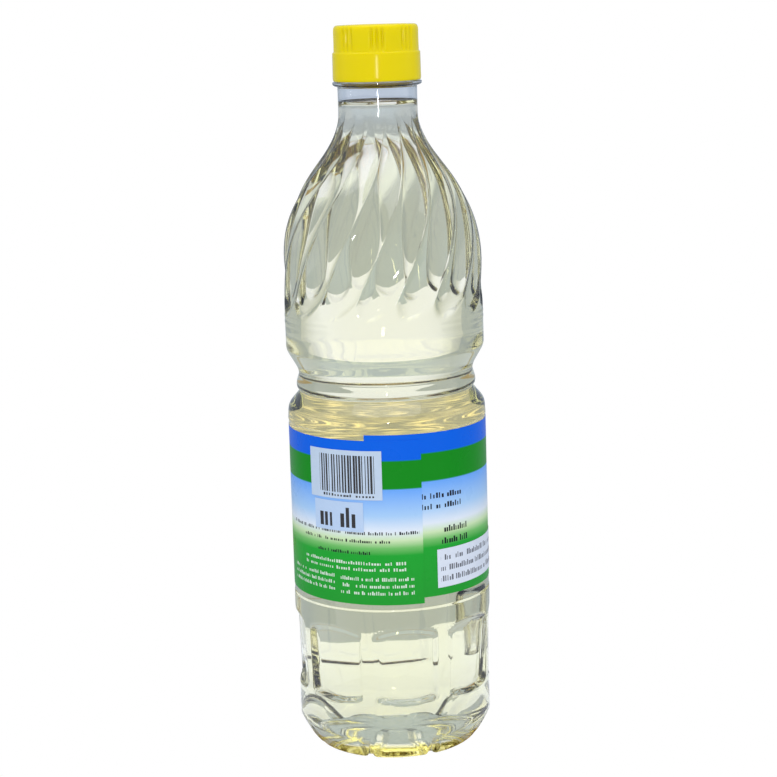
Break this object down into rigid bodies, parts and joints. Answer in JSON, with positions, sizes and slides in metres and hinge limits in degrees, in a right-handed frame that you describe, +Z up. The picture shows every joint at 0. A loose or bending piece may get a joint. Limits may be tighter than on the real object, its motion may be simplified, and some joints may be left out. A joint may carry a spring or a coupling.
{
  "type": "bottle of fennel water",
  "caption": "Clear plastic drink bottle with a twisted fluted shoulder, pinched waist and sunk lower panels, full of pale straw liquid, with a yellow screw cap and a wrap-around label.",
  "frame": {"origin": "centre of the foot, on the surface that the bottle stands on", "axes": "+Z up along the bottle's axis, -Y towards the viewer who sees the label's overlap, +X to that viewer's right"},
  "size_m": [0.0787, 0.0793, 0.2827],
  "materials": {
    "clear_plastic": "clear blown plastic, glossy, very thin",
    "straw_liquid": "clear pale straw-yellow liquid",
    "yellow_plastic": "moulded glossy yellow plastic with a ribbed grip",
    "printed_film": "glossy printed film in fields of blue, green and pale blue fading to white",
    "white_paper": "white sticker paper, matt",
    "pale_paper": "pale blue-white sticker, matt"
  },
  "bodies": {
    "root": {"bottle": "clear_plastic", "fennel_water": "straw_liquid", "cap": "yellow_plastic", "label": "printed_film", "barcode_sticker": "white_paper", "content_sticker": "pale_paper", "permit_sticker": "white_paper"}
  },
  "joints": []
}
